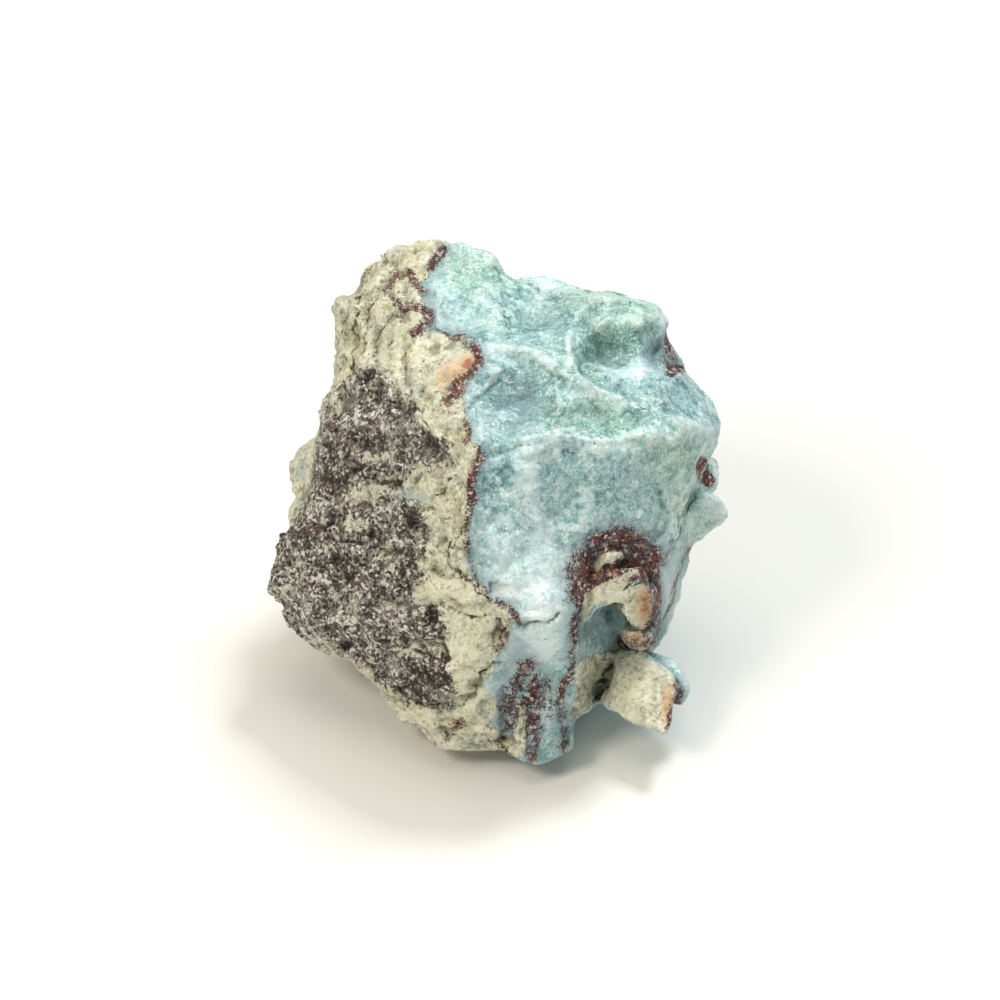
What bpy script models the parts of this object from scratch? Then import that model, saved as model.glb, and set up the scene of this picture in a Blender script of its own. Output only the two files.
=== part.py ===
"""Rough larimar: one broken piece of rock, as it came out of the ground.

Two frames are used, both in millimetres. The stone frame has +X to the right, +Y away from the
front and +Z up, with the table at Z = 0. The sight frame shows the same stone to someone who looks
down at its front at SIGHT_TILT: a landmark there is (across, up, out), where out grows towards the
viewer. Landmarks are joined into facets, as the stone's own broken faces are, and the surface is
then roughened, so that the flutes, ledges and cracks are part of one closed solid.
"""
import math

import bmesh
import bpy
from mathutils import Vector, noise
from mathutils.geometry import delaunay_2d_cdt

# Driving dimensions
MM = 0.001
SIGHT_TILT = math.radians(40)
SIGHT_HEIGHT = 29.0
STONE_MIDDLE = (-0.3, -1.0)
RAW_GRAIN = 0.75
FACET_COUNT = 8800

# The outline that the sight frame shows, clockwise from the basalt bulge at the left
OUTLINE = [
    (-34.5, -13.5, -2), (-34, -10.5, -1), (-33, -7, 0), (-31.8, -4.5, 0.5), (-29.5, 0, 1),
    (-28, 3.5, 1.5), (-27.5, 7.5, 1.5), (-26.5, 10.5, 1), (-26, 13, 0.5), (-24.5, 16, 1),
    (-24.5, 20.5, -2), (-25, 24, -3.5), (-24.5, 26.5, -4.5), (-25, 29, -6), (-24, 30.5, -6.5),
    (-21.5, 31.5, -6.5), (-20.5, 34, -6), (-19, 36.5, -5), (-15, 38, -2.5), (-11.5, 38.5, 0),
    (-10, 39.5, -0.5), (-7.5, 40, -1), (-5, 39, -1), (-1, 37, -1.5), (1, 34, -1), (4.5, 32, -0.5),
    (8, 30.5, 0), (9.5, 32.5, 0), (15, 31.5, 2), (21, 30, 3.5), (23, 29.5, 3.5),
    (25.2, 26.5, 3), (24.5, 24.5, 2), (25.2, 22, 1), (27.2, 20.5, 0), (27.8, 18.5, 1),
    (29.5, 17, 2), (32, 14.5, 3), (33.5, 10.5, 4), (32.5, 8, 3.5), (30, 4, 1.5), (29, 1, 1),
    (29.5, -3, -0.5), (28.5, -6.5, -1.5), (27, -10, -2), (26.5, -13.5, -3), (25.5, -16, -4),
    (24, -18, -4.5), (23, -20, -5), (22.5, -23, -6), (21, -26, -6), (19, -28.5, -5.5),
    (14.5, -30, -3), (13.5, -31.5, -0.5), (11, -32.5, 1), (11, -35, 2.5), (11, -37, 3.5),
    (7.5, -38.5, 2.5), (4.5, -39.5, 2.5), (0, -37.5, 1), (-4.5, -37, 0.5), (-9, -37, 0.5),
    (-11, -35, -0.5), (-14, -32.5, -1), (-16.5, -30.5, -1), (-19, -26.5, -1),
    (-22.5, -23.5, -1), (-25, -23.5, -2), (-27, -22, -2), (-29.5, -19.5, -3), (-32, -17, -3),
]

# Creases and points of the front, each a line of landmarks in the sight frame
FRONT_CREASES = {
    "seam between crust and blue": [
        (-7.5, 40, -1), (-9, 37, 0), (-11, 32, 3.5), (-11, 26, 8), (-7.5, 24, 11.5),
        (-4, 22, 16), (-3.5, 20, 18.5), (-5.5, 16, 21), (-5, 10.5, 24), (-3.5, 6.5, 26),
        (-4.5, 0, 25.5), (-5, -6, 24.5), (-4, -11.5, 23.5), (-1, -15.5, 23), (2, -18.5, 22),
    ],
    "edge of the basalt": [
        (-24.5, 16, 1), (-22.5, 17.5, 5), (-19, 20, 10), (-15, 16, 15), (-11.5, 11, 19),
        (-8, 7, 22.5), (-12, 3, 20), (-12, -1, 20), (-11, -7, 20), (-11, -13, 19.5),
        (-8, -18.5, 20), (-7.5, -27, 15), (-8, -31.5, 11), (-13, -30.5, 7), (-18, -27, 4.5),
        (-22.5, -23, 2.5),
    ],
    "left edge of the basalt face": [
        (-26, 10, 4.5), (-27, 3.5, 5), (-29.5, -4.5, 4), (-32.5, -12.5, 2), (-30, -17.5, 2),
        (-26.5, -21.5, 2),
    ],
    "rim of the fluted crust": [
        (-23, 21, 2.5), (-22.5, 25.5, 1.5), (-22, 29.5, 0), (-18.5, 34, -1), (-14.5, 36, 0),
    ],
    "foot of the crust": [(-7, -31.5, 10), (-2.5, -29, 12.5), (-0.5, -25.5, 14.5), (2, -22, 16)],
    "cream lip": [(-10, -34, 5), (-4.5, -34, 7), (0, -34, 7)],
    "step across the top": [(0, 31, 3), (1.5, 26, 9.5), (2.5, 23.5, 13.5), (4.5, 22, 16)],
    "bright ridge": [
        (-4, 22, 16), (0, 22.8, 15.5), (4.5, 22, 16), (9, 19, 18), (13.5, 16.5, 19.5),
        (18, 14, 21), (22.5, 11, 21.5), (30, 10.5, 15),
    ],
    "left edge of the green hollow": [
        (10, 24, 12.5), (10.2, 21.5, 15.5), (11.8, 20.3, 16.5), (13.3, 17.3, 18.8),
    ],
    "foot of the green hollow": [
        (13.2, 19.3, 13), (16.5, 20.6, 12.8), (21, 22.2, 11.3), (24.3, 24.3, 7),
    ],
    "top of the green hollow": [(11.5, 25.5, 10.5), (15, 27, 11.5), (21, 27, 11.5), (23.5, 27.5, 8)],
    "top of the front face": [
        (-3.5, 6.5, 26), (0, 7.5, 24.8), (6, 9.5, 24.7), (9, 10.3, 24.6), (15, 9, 25),
        (21, 9.5, 23), (25, 9, 20), (30, 9, 13.5),
    ],
    "overhang": [
        (2, -18.5, 22), (4.5, -18.3, 22.5), (7.5, -18.2, 22.3), (10, -17, 21.3),
        (11.5, -15, 20.5),
    ],
    "red rim at the foot": [
        (11.5, -15, 20.5), (11.5, -21, 15.5), (11, -25, 12.5), (10.5, -29, 9.7),
        (10.2, -33.5, 6.5),
    ],
    "rim of the cavity": [
        (11.5, -15, 20.5), (12, -10, 20.5), (13.2, -7.3, 20.3), (16.5, -5.3, 20),
        (20, -5.8, 18.5), (23, -8, 15.8), (23.2, -11, 14), (23.3, -15, 11), (22.8, -18.5, 7.5),
        (21.5, -21, 3),
    ],
    "wall of the cavity": [(13, -16.5, 10.5), (13, -22.5, 7.5), (12.5, -28, 4)],
}

# Single points of the front between its creases, in the sight frame
FRONT_POINTS = {
    "basalt face": [(-20, 12, 12.5), (-20.5, 0, 12.5), (-21, -9, 11.5), (-18, -17, 13.3)],
    "fluted crust": [(-16, 28, 5.5), (-15, 22, 10), (-9.5, 17.5, 17.5), (-8.5, 12, 21)],
    "crust below the seam": [(-7, -13, 22), (-4.5, -20, 20.3), (-3, -26, 16.3), (0, -23, 18.3)],
    "crown": [(-3, 34, 2.5), (-3, 30, 6.5), (-6, 27.5, 8.5)],
    "floor beside the step": [(2.5, 30.5, 1.5), (4, 26, 7), (7, 26.5, 6.8)],
    "back of the top": [(9, 29.5, 4.5), (15, 29.5, 7.5), (20, 29, 8)],
    "platform": [(21, 18.5, 16), (25.5, 18, 12.5), (28.5, 14.5, 11)],
    "hollows above the front face": [(3, 15, 19.5), (8, 12.2, 21), (15, 12.7, 21)],
    "front face": [
        (3, 0, 24.3), (9, 1.5, 21.8), (15, 0, 20.8), (18, 4.5, 22), (22.5, 0, 17.8),
        (28, 3, 11), (27, -1.5, 9), (1.5, -9, 23.2), (7, -6, 20.8), (25.5, -5.5, 11),
    ],
    "white bulge": [(7, -11, 22.3), (2.5, -14.5, 23), (7, -16, 23.3), (10.2, -12, 21)],
    "recess under the overhang": [(4, -20.5, 16.8), (7.3, -21, 15.5), (9.8, -20, 16)],
    "floor of the recess": [(5, -24.5, 13.3), (8.5, -25, 12.3)],
    "lumps at the foot": [
        (0.5, -28.5, 12.5), (4, -29.5, 11.7), (7, -31, 10), (3, -34, 7.5), (7, -35.5, 6.5),
    ],
    "back of the cavity": [(14.5, -9.5, 14.5), (18.5, -8.5, 13.5), (20.5, -12, 9)],
    "depth of the cavity": [(16.5, -16, 3), (17.5, -19.5, 1.5), (16.5, -24.5, 0), (20, -22, -1.5)],
    "right shoulder": [(26, -9, 5.5), (24.8, -13.5, 5), (24, -17, 2.5)],
}

# Creases of the hidden sides, in the stone frame
HIDDEN_CREASES = {
    "upper back": [
        (-24, 19, 35), (-14, 27, 37), (-2, 25.5, 42), (10, 20.5, 41), (20, 17, 38), (28.5, 8, 31),
    ],
    "brink of the ledge": [
        (-21, 22.5, 29.5), (-12, 27, 30), (-2, 27, 33), (8, 24, 31), (17, 18.5, 28),
    ],
    "foot of the ledge": [
        (-20, 19.5, 27.5), (-12, 23, 27), (-2, 23, 29.5), (8, 20.5, 28), (17, 16, 25.5),
    ],
    "middle of the back": [
        (-27, 12, 21), (-17, 22, 17), (-4, 25, 16.5), (3, 22.5, 18), (12, 22.5, 14),
        (23, 12, 17), (27, 1, 18),
    ],
    "lower back": [
        (-20, 8, 6.5), (-10, 16.5, 5), (3, 18.5, 5), (13, 13, 4.5), (20, 2, 5), (17, -10, 3.5),
    ],
    "underside at the left": [(-20, -6, 6), (-27.5, 1, 13.5)],
    "face that it stands on": [
        (-9, -19.5, -1.2), (0, -21.5, -1.2), (4.5, -23.5, -1.2), (9, -20, -1.2), (10, -14, -1.2),
        (12, -10, -1.2), (14, 1, -1.2), (7, 11, -1.2), (-7, 10, -1.2), (-14, 1, -1.2),
        (-13, -11, -1.2), (-9, -19.5, -1.2),
    ],
}

# Bits that stick out of the facets, each the hull of its corners in the sight frame
BITS = {
    "pale piece behind the left edge": [
        (-32, 4, -11), (-30, 7, -11), (-27.5, 10, -9), (-31.5, 0, -9), (-25, 8, -4), (-25, 2, -1),
        (-25, 4, -13),
    ],
    "pale foot of that piece": [
        (-31.6, 1, -7), (-31.5, -5, -4), (-27, -1, 0), (-27, -7, -1), (-25, -4, -10),
    ],
    "pale piece on the skyline": [
        (2.5, 33.5, -5), (7, 34, -5), (10, 32.5, -4), (8, 29, -1), (3, 31, -2), (0, 31, -5),
        (12, 31, -4), (4, 26, -8), (9, 25, -7),
    ],
    "brown piece behind the right edge": [
        (29, 4, -2), (31, 6.5, -3), (33, 6, -5), (33, 2, -6), (32, 0.5, -5), (26, 1, -8),
        (27, 7, -6),
    ],
    "brown corner above the shoulder": [
        (24.3, 24, 1), (26.6, 21.2, 0.5), (27.5, 20.5, 0), (28, 17.5, 1), (24.5, 19, 8),
        (24, 23, 5), (23, 20, -2),
    ],
    "blue shard": [
        (29.5, 1.5, 2), (27.5, -2, 3), (27, -5.5, 2), (32, 0.3, 2.5), (34, -1, 1.5), (34.5, -2, 1),
        (33, -3.5, 1), (31, -5, 0.5), (28.5, -6.5, -0.5), (26.5, -2, -5), (31, -2, -1.5),
    ],
    "thin slab behind the right side": [
        (28.7, -6, -3), (28, -8.5, -4), (26.8, -13.5, -5.5), (25.6, -18, -6), (24.2, -22.5, -6.5),
        (22.5, -23.5, -7), (22, -15, -4), (24, -8, -4), (20, -15, -10),
    ],
    "cream flake": [
        (16, -25.5, 1), (18, -22.3, 3), (21, -23, 4), (23.5, -24.5, 5), (26, -26.3, 6),
        (26.5, -28, 6.5), (25.6, -31, 8), (25.3, -35.2, 9.6), (23.9, -35, 9.5), (21, -33, 7.5),
        (18.8, -31, 5.5), (15.5, -30.5, 2.5), (18, -23.5, -4), (25.3, -27, 2.5),
        (24.8, -33.2, 5.8), (16, -29.5, -4),
    ],
    "pale back of the flake": [
        (23, -22.7, 0.5), (26.5, -24.7, 1.5), (28, -26.7, 2.5), (28.4, -28, 3), (28, -29.6, 3.5),
        (27, -30.5, 4), (20, -24, -4), (22, -29.5, -2.5), (18, -23, -6), (17, -28, -7),
    ],
    "small flake in the cavity": [
        (14, -11, 18.5), (15, -8.5, 19.5), (17.5, -7, 19.5), (18.5, -8.3, 18.5), (17.3, -10.2, 19),
        (14.5, -11.7, 18.5), (16, -9, 12), (15, -10.5, 12),
    ],
    "arch over the cavity": [
        (12.5, -13.5, 17), (15, -11.7, 19), (19, -10.2, 19), (21, -10, 18), (21.7, -12, 17),
        (18.7, -14.5, 17.5), (15, -15, 17.8), (13.3, -16, 16.3), (15, -12, 9), (20, -11, 8),
    ],
    "left leg of the arch": [
        (12.3, -13.5, 17), (14.5, -14.5, 17), (14.3, -16.5, 15), (13, -18, 13.5), (12.2, -17.5, 13.5),
        (12.2, -14, 10), (12.3, -18, 9),
    ],
    "cream lump under the arch": [
        (18, -13.5, 16.5), (21, -12.5, 16.3), (22.7, -13, 14.3), (22.7, -17, 12), (21.5, -19, 11.5),
        (19.5, -18.5, 13.3), (18, -15.5, 15.8), (20, -15, 4), (22.5, -15, 4),
    ],
    "brown lump under the arch": [
        (18, -19, 9.5), (20, -19, 10.5), (22.2, -19.3, 9), (22.2, -21.3, 7.5), (20.5, -22.3, 7.5),
        (18.3, -21, 8.5), (20, -20, 1), (22, -20, 1),
    ],
}

# Ledges and cracks of the front, in the sight frame: points, width and depth.
# The ground to the right of a ledge's line, as it runs, lies deeper by its depth.
LEDGES = {
    "basalt arc": ([(-17.5, 4.5), (-19, 5.6), (-23.5, 5)], 3.0, 0.9),
    "upper basalt ledge": ([(-16.5, -6.5), (-22, -6.2), (-26.5, -5)], 3.5, 1.1),
    "lower basalt ledge": ([(-8, -24), (-12, -22.3), (-18, -20.7)], 3.5, 1.2),
    "crust under the basalt": ([(-8, -32), (-13, -31), (-18, -27), (-23, -23)], 3.0, 1.4),
    "edge of the crust's foot": ([(0, -23.5), (-2.5, -27.2), (-3, -29.5), (-8, -31.3)], 2.5, 1.2),
    "head of the basalt": ([(-7.5, 6.5), (-12, 11.3), (-15, 16.3), (-19, 20.5), (-23.5, 17)], 2.0, -0.8),
}
CRACKS = {
    "root of the shard": ([(29, 1), (27.5, -2), (27, -5), (25.5, -7.5)], 0.9, 1.2),
    "edge of the front face": ([(-3, 6.5), (0, 7.2), (3, 8.3)], 0.9, 0.9),
    "crack beside the flake": ([(16.8, -24.5), (16.3, -27), (14.8, -29.5)], 1.0, 1.8),
    "crack in the crust": ([(0, -17.7), (-0.4, -19.5), (-1.2, -20.7)], 0.8, 1.0),
    "foot between the lumps": ([(0, -28.5), (0.5, -33), (1.5, -37)], 1.2, 0.9),
}

LEDGE_START = 0.9

# The fluted crust at the upper left: its middle, half size and how far its flutes are apart
FLUTE_MIDDLE = (-16.0, 25.0)
FLUTE_REACH = (9.5, 10.0)
FLUTE_SPACING = 3.0
FLUTE_DEPTH = 0.8
# How far the joining of the facets rounds their edges off, which the roughening gives back
ROUNDING_LOSS = 0.4
# How far the whole surface is roughened, in two sizes of lump, and the cups that its breaking
# left on the hidden sides
LUMP_SIZES = ((9.0, 0.75), (3.2, 0.38))
CUP_SIZE = 11.0
CUP_DEPTH = 2.2
NOISE_SEED = Vector((11.3, 4.7, 29.1))


def remove_old_objects():
    for old in list(bpy.data.objects):
        bpy.data.objects.remove(old, do_unlink=True)


def to_stone(point):
    """Turns a sight-frame point into the stone frame."""
    across, up, out = point
    away = up * math.sin(SIGHT_TILT) - out * math.cos(SIGHT_TILT)
    height = up * math.cos(SIGHT_TILT) + out * math.sin(SIGHT_TILT) + SIGHT_HEIGHT
    return Vector((across, away, height))


def to_sight(point):
    """Turns a stone-frame point into the sight frame."""
    x, y, z = point
    z -= SIGHT_HEIGHT
    up = y * math.sin(SIGHT_TILT) + z * math.cos(SIGHT_TILT)
    out = z * math.sin(SIGHT_TILT) - y * math.cos(SIGHT_TILT)
    return Vector((x, up, out))


def facets(lines, spots):
    """Joins the outline, the lines of landmarks and single spots into triangles."""
    points = [Vector(p) for p in OUTLINE]
    rim = list(range(len(points)))
    creases = []
    for line in lines.values():
        first = len(points)
        points.extend(Vector(p) for p in line)
        creases.extend((i, i + 1) for i in range(first, len(points) - 1))
    for group in spots.values():
        points.extend(Vector(p) for p in group)
    flat = [p.xy for p in points]
    found, _, triangles, sources, _, _ = delaunay_2d_cdt(flat, creases, [rim], 1, 1e-4)
    corners = []
    for place, source in zip(found, sources):
        if not source:
            raise ValueError(f"two lines of landmarks cross at {place[:]}")
        corners.append(points[source[0]])
    return corners, triangles


def add_sheet(shell, lines, spots, facing_viewer):
    """Adds one sheet of facets to the mesh that gathers the whole stone."""
    corners, triangles = facets(lines, spots)
    made = [shell.verts.new(to_stone(c)) for c in corners]
    for triangle in triangles:
        turn = triangle if facing_viewer else reversed(triangle)
        shell.faces.new([made[i] for i in turn])


def add_bit(shell, corners):
    """Adds the convex hull of a few corners as a body of its own."""
    bit = bmesh.new()
    for corner in corners:
        bit.verts.new(to_stone(corner))
    hull = bmesh.ops.convex_hull(bit, input=bit.verts)
    loose = [v for v in hull["geom_interior"] if isinstance(v, bmesh.types.BMVert)]
    bmesh.ops.delete(bit, geom=loose, context="VERTS")
    bmesh.ops.recalc_face_normals(bit, faces=bit.faces)
    copies = {v: shell.verts.new(v.co) for v in bit.verts}
    for face in bit.faces:
        shell.faces.new([copies[v] for v in face.verts])
    bit.free()


def angular_stone():
    """Makes the stone's plain facets: front and hidden sheets that share the outline, and bits."""
    shell = bmesh.new()
    add_sheet(shell, FRONT_CREASES, FRONT_POINTS, True)
    hidden = {name: [to_sight(p) for p in line] for name, line in HIDDEN_CREASES.items()}
    add_sheet(shell, hidden, {}, False)
    bmesh.ops.remove_doubles(shell, verts=shell.verts, dist=0.01)
    for corners in BITS.values():
        add_bit(shell, corners)
    bmesh.ops.scale(shell, vec=(MM, MM, MM), verts=shell.verts)
    mesh = bpy.data.meshes.new("angular_stone")
    shell.to_mesh(mesh)
    shell.free()
    return mesh


def with_modifier(mesh, kind, **settings):
    """Returns the mesh as it is after one modifier."""
    carrier = bpy.data.objects.new("carrier", mesh)
    bpy.context.scene.collection.objects.link(carrier)
    modifier = carrier.modifiers.new(kind.title(), kind)
    for name, value in settings.items():
        setattr(modifier, name, value)
    view = bpy.context.evaluated_depsgraph_get()
    changed = bpy.data.meshes.new_from_object(carrier.evaluated_get(view))
    bpy.data.objects.remove(carrier, do_unlink=True)
    return changed


def keep_largest_shell(mesh):
    """Drops the small sealed pockets that the joining leaves between the bits and the stone."""
    body = bmesh.new()
    body.from_mesh(mesh)
    left = set(body.verts)
    shells = []
    while left:
        shell = {left.pop()}
        edge = set(shell)
        while edge:
            near = {e.other_vert(v) for v in edge for e in v.link_edges}
            edge = near - shell
            shell |= edge
        left -= shell
        shells.append(shell)
    shells.sort(key=len)
    for shell in shells[:-1]:
        bmesh.ops.delete(body, geom=list(shell), context="VERTS")
    body.to_mesh(mesh)
    body.free()


def nearest_on_line(place, line):
    """Returns the distance from a line, and how far the place lies to its right."""
    nearest = math.inf
    right = 0.0
    for start, end in zip(line, line[1:]):
        start = Vector(start)
        run = Vector(end) - start
        along = max(0.0, min(1.0, (place - start).dot(run) / run.length_squared))
        gap = place - (start + run * along)
        if gap.length < nearest:
            nearest = gap.length
            right = (gap.x * run.y - gap.y * run.x) / run.length
    return nearest, right


def ledge_depth(place):
    """Adds up what the ledges and cracks take away at a place in the sight frame."""
    depth = 0.0
    for line, width, drop in LEDGES.values():
        distance, right = nearest_on_line(place, line)
        if 0 < right and distance < width:
            depth += drop * min(1, right / LEDGE_START) * (1 - distance / width)
    for line, width, drop in CRACKS.values():
        distance, _ = nearest_on_line(place, line)
        if distance < width:
            depth += drop * (1 - distance / width)
    return depth


def flute_depth(place):
    """Returns the depth of the crust's flutes, which run up the stone and wander a little."""
    dx = (place.x - FLUTE_MIDDLE[0]) / FLUTE_REACH[0]
    dy = (place.y - FLUTE_MIDDLE[1]) / FLUTE_REACH[1]
    strength = max(0.0, 1 - dx * dx - dy * dy)
    wander = noise.noise(Vector((place.x / 5, place.y / 9, 3.1)))
    turn = math.tau * (place.x / FLUTE_SPACING + 0.8 * wander)
    return FLUTE_DEPTH * min(1.0, 2 * strength) * (0.5 - 0.5 * math.cos(turn))


def roughen(mesh):
    """Moves each point along its normal: lumps all over, and the front's own ledges and flutes."""
    view = to_stone((0, 0, 1)) - to_stone((0, 0, 0))
    body = bmesh.new()
    body.from_mesh(mesh)
    body.normal_update()
    moves = []
    for vert in body.verts:
        stone = vert.co / MM
        rise = ROUNDING_LOSS
        for size, height in LUMP_SIZES:
            rise += height * noise.noise(stone / size + NOISE_SEED)
        seen = max(0.0, min(1.0, vert.normal.dot(view) * 3))
        hidden = max(0.0, min(1.0, -vert.normal.dot(view) * 2 - 0.3))
        if hidden > 0:
            cup_wall = noise.voronoi(stone / CUP_SIZE + NOISE_SEED)[0][0]
            rise += hidden * CUP_DEPTH * (cup_wall - 0.4)
        if seen > 0:
            place = to_sight(stone).xy
            rise -= seen * (ledge_depth(place) + flute_depth(place))
        moves.append(vert.normal * rise * MM)
    for vert, move in zip(body.verts, moves):
        vert.co += move
    body.to_mesh(mesh)
    body.free()


def stand_flat(mesh):
    """Cuts the stone off at the table and moves it so that the middle of its box is over zero."""
    body = bmesh.new()
    body.from_mesh(mesh)
    everything = body.verts[:] + body.edges[:] + body.faces[:]
    cut = bmesh.ops.bisect_plane(
        body, geom=everything, dist=1e-6, plane_co=(0, 0, 0), plane_no=(0, 0, -1), clear_outer=True
    )
    edge = [e for e in cut["geom_cut"] if isinstance(e, bmesh.types.BMEdge)]
    bmesh.ops.holes_fill(body, edges=edge, sides=0)
    bmesh.ops.dissolve_degenerate(body, dist=1e-5, edges=body.edges)
    bmesh.ops.triangulate(body, faces=body.faces)
    bmesh.ops.recalc_face_normals(body, faces=body.faces)
    shift = (-STONE_MIDDLE[0] * MM, -STONE_MIDDLE[1] * MM, 0)
    bmesh.ops.translate(body, vec=shift, verts=body.verts)
    body.to_mesh(mesh)
    body.free()


def stone_material():
    """Plain blue-green pectolite stone: dry, broken and slightly waxy."""
    material = bpy.data.materials.new("larimar")
    material.use_nodes = True
    shader = material.node_tree.nodes["Principled BSDF"]
    shader.inputs["Base Color"].default_value = (0.36, 0.56, 0.54, 1)
    shader.inputs["Roughness"].default_value = 0.6
    shader.inputs["Metallic"].default_value = 0.0
    return material


def make_stone():
    mesh = angular_stone()
    mesh = with_modifier(mesh, "REMESH", mode="VOXEL", voxel_size=RAW_GRAIN * MM)
    keep_largest_shell(mesh)
    mesh = with_modifier(mesh, "SMOOTH", factor=0.5, iterations=3)
    roughen(mesh)
    share = FACET_COUNT / sum(len(p.vertices) - 2 for p in mesh.polygons)
    mesh = with_modifier(mesh, "DECIMATE", ratio=share)
    stand_flat(mesh)
    mesh.name = "larimar_stone"
    mesh.materials.clear()
    mesh.materials.append(stone_material())
    stone = bpy.data.objects.new("larimar_stone", mesh)
    bpy.context.scene.collection.objects.link(stone)


remove_old_objects()
make_stone()
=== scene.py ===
"""Dresses the rough larimar: one broken stone of basalt, pale crust, rust seam and blue rock.

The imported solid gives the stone's size and its broken faces. Here it gets its fine breakage, and
one material in which the four rocks meet as they grew. Places on the front are read off the
photograph, in its pixels, and each pixel covers PIXEL millimetres of the stone.
"""

import math

import bmesh
import bpy
import numpy as np
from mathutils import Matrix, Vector, noise


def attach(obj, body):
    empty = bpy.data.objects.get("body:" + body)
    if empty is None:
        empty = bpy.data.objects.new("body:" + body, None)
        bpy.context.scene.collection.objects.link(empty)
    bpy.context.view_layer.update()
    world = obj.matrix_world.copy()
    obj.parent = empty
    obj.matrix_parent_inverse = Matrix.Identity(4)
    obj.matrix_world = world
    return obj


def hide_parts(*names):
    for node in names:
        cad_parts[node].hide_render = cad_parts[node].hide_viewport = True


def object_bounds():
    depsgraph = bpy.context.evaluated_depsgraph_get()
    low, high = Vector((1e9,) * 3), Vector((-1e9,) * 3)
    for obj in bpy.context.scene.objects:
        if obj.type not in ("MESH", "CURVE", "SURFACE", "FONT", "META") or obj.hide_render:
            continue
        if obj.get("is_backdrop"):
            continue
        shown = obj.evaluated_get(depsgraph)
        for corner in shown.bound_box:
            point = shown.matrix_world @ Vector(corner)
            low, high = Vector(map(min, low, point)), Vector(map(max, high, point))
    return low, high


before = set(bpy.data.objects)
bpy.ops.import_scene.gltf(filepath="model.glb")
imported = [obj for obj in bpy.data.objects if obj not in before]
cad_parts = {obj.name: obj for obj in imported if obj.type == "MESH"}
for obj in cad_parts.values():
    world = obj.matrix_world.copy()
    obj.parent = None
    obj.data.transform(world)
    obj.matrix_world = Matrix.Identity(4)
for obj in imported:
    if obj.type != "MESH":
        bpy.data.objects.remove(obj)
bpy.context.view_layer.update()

# The eye: a long lens that looks down at the stone's front, so that the stone fills the frame as
# it does in the photograph. Its line of sight also carries the places that are read off there.
MM = 0.001
PIXEL = 0.15
FRAME_MIDDLE = 500
SIGHT_TILT = math.radians(40)
SIGHT_DISTANCE = 1500
SIGHT_TARGET = np.array((0.3, 1.0, 29.0))
SENSOR_WIDTH = 36

ACROSS = np.array((1.0, 0.0, 0.0))
UP = np.array((0.0, math.sin(SIGHT_TILT), math.cos(SIGHT_TILT)))
OUT = np.array((0.0, -math.cos(SIGHT_TILT), math.sin(SIGHT_TILT)))

eye = bpy.data.cameras.new("eye")
eye.sensor_width = SENSOR_WIDTH
eye.lens = SENSOR_WIDTH * SIGHT_DISTANCE / (2 * FRAME_MIDDLE * PIXEL)
eye.clip_start = 0.05
eye.clip_end = 20
camera = bpy.data.objects.new("eye", eye)
camera.location = (SIGHT_TARGET + OUT * SIGHT_DISTANCE) * MM
camera.rotation_euler = (-Vector(OUT)).to_track_quat("-Z", "Y").to_euler()
bpy.context.scene.collection.objects.link(camera)
bpy.context.scene.camera = camera


# The broken form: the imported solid, with the thin flakes and the arch that stand in the hollow at
# the lower right. They are one with the stone, so everything is joined into a single skin, whose
# points lie SKIN_GRAIN millimetres apart.
SKIN_GRAIN = 0.45
SAME_POINT = 1e-7
HOLLOW_BITS = {
    "red wall behind the arch": [
        (12.5, -9, 18.6), (14, -7.5, 18.8), (16.5, -6.4, 18.3), (20, -6.9, 16.8),
        (22.5, -8.8, 14.8), (22.6, -14, 11.5), (21.5, -17, 10), (18, -15, 10),
        (13, -13.5, 14.5), (16, -10, 8), (21, -12, 5),
    ],
    "small flake": [
        (13.8, -11.4, 18.9), (14.8, -9.3, 20.2), (16.2, -8, 20.6), (18.5, -7.5, 19.8),
        (18.7, -8.3, 19.3), (17.5, -9.4, 19.1), (15.6, -10.3, 19), (16, -9, 15),
    ],
    "left leg of the arch": [
        (12, -13.3, 18.2), (13.8, -12.3, 19.2), (15.5, -14, 18.6), (14.3, -15.6, 17.4),
        (13.2, -18.2, 15.8), (12.1, -17.8, 16), (12.4, -14, 11), (12.3, -18, 10),
    ],
    "span of the arch": [
        (13.5, -12.4, 19.2), (17, -10.9, 19.8), (20, -9.9, 19), (21.3, -10, 18),
        (21.3, -11.8, 17.4), (19, -14.4, 17.6), (17, -15, 17.6), (15, -14.8, 18),
        (16, -12, 13), (20, -11.5, 12),
    ],
    "cream lump": [
        (18.2, -13.6, 17), (19.8, -12.8, 17.2), (21.5, -12.8, 16.2), (22.4, -14, 15),
        (22.5, -16.5, 13.5), (22.2, -18.8, 12.2), (21, -19.6, 12.5), (19.5, -19, 14.2),
        (18.7, -17.3, 15.8), (20, -15, 6), (22, -16, 6),
    ],
    "brown lump": [
        (18, -19.4, 11.5), (20, -19.6, 12.3), (22, -19.5, 10.8), (22, -21.3, 9.2),
        (20.5, -22, 9.2), (18.4, -21, 10.4), (20, -20, 3), (21.8, -20, 3),
    ],
}


def from_sight(points):
    """Places in the row frame, in metres, of points given as across, up and out in millimetres."""
    points = np.asarray(points, float)
    turned = points[:, :1] * ACROSS + points[:, 1:2] * UP + points[:, 2:] * OUT
    return (turned + SIGHT_TARGET) * MM


def with_modifier(mesh, kind, **settings):
    """The mesh as it is after one modifier."""
    carrier = bpy.data.objects.new("carrier", mesh)
    bpy.context.scene.collection.objects.link(carrier)
    modifier = carrier.modifiers.new(kind.title(), kind)
    for name, value in settings.items():
        setattr(modifier, name, value)
    view = bpy.context.evaluated_depsgraph_get()
    changed = bpy.data.meshes.new_from_object(carrier.evaluated_get(view))
    bpy.data.objects.remove(carrier, do_unlink=True)
    return changed


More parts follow.
